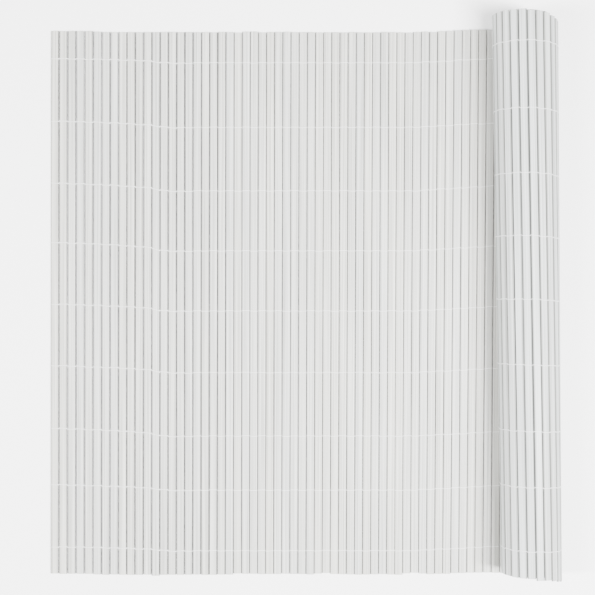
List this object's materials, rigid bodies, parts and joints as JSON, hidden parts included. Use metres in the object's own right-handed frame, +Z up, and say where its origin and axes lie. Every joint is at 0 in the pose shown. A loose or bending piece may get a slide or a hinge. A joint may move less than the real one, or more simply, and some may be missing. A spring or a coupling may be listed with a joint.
{
  "type": "pvc privacy screen",
  "caption": "privacy screen of hollow white PVC slats laced side by side with thin thread, laid out flat with the rest of its length rolled up at one end",
  "frame": {"origin": "centre of the bounding box in plan, on the floor that the mat lies on", "axes": "+Y along the slats, +X along the mat from its free end to the roll, +Z up"},
  "size_m": [0.8368, 0.9162, 0.1084],
  "materials": {
    "flat_slat": "satin white PVC",
    "rolled_slat": "satin white PVC",
    "thread": "white polyester thread"
  },
  "bodies": {
    "root": {"flat_slats_01": "flat_slat", "flat_slats_02": "flat_slat", "flat_slats_03": "flat_slat", "flat_slats_04": "flat_slat", "flat_slats_05": "flat_slat", "flat_slats_06": "flat_slat", "flat_slats_07": "flat_slat", "flat_slats_08": "flat_slat", "flat_slats_09": "flat_slat", "flat_slats_10": "flat_slat", "flat_slats_11": "flat_slat", "flat_slats_12": "flat_slat", "flat_slats_13": "flat_slat", "flat_slats_14": "flat_slat", "flat_slats_15": "flat_slat", "flat_slats_16": "flat_slat", "flat_slats_17": "flat_slat", "flat_slats_18": "flat_slat", "flat_slats_19": "flat_slat", "rolled_slats_01": "rolled_slat", "rolled_slats_02": "rolled_slat", "rolled_slats_03": "rolled_slat", "rolled_slats_04": "rolled_slat", "rolled_slats_05": "rolled_slat", "rolled_slats_06": "rolled_slat", "rolled_slats_07": "rolled_slat", "rolled_slats_08": "rolled_slat", "rolled_slats_09": "rolled_slat", "rolled_slats_10": "rolled_slat", "rolled_slats_11": "rolled_slat", "rolled_slats_12": "rolled_slat", "rolled_slats_13": "rolled_slat", "rolled_slats_14": "rolled_slat", "rolled_slats_15": "rolled_slat", "rolled_slats_16": "rolled_slat", "rolled_slats_17": "rolled_slat", "rolled_slats_18": "rolled_slat", "rolled_slats_19": "rolled_slat", "thread_1_back": "thread", "thread_1_front": "thread", "thread_2_back": "thread", "thread_2_front": "thread", "thread_3_back": "thread", "thread_3_front": "thread", "thread_4_back": "thread", "thread_4_front": "thread", "thread_5_back": "thread", "thread_5_front": "thread", "thread_6_back": "thread", "thread_6_front": "thread", "thread_7_back": "thread", "thread_7_front": "thread", "thread_8_back": "thread", "thread_8_front": "thread", "thread_9_back": "thread", "thread_9_front": "thread"}
  },
  "joints": []
}
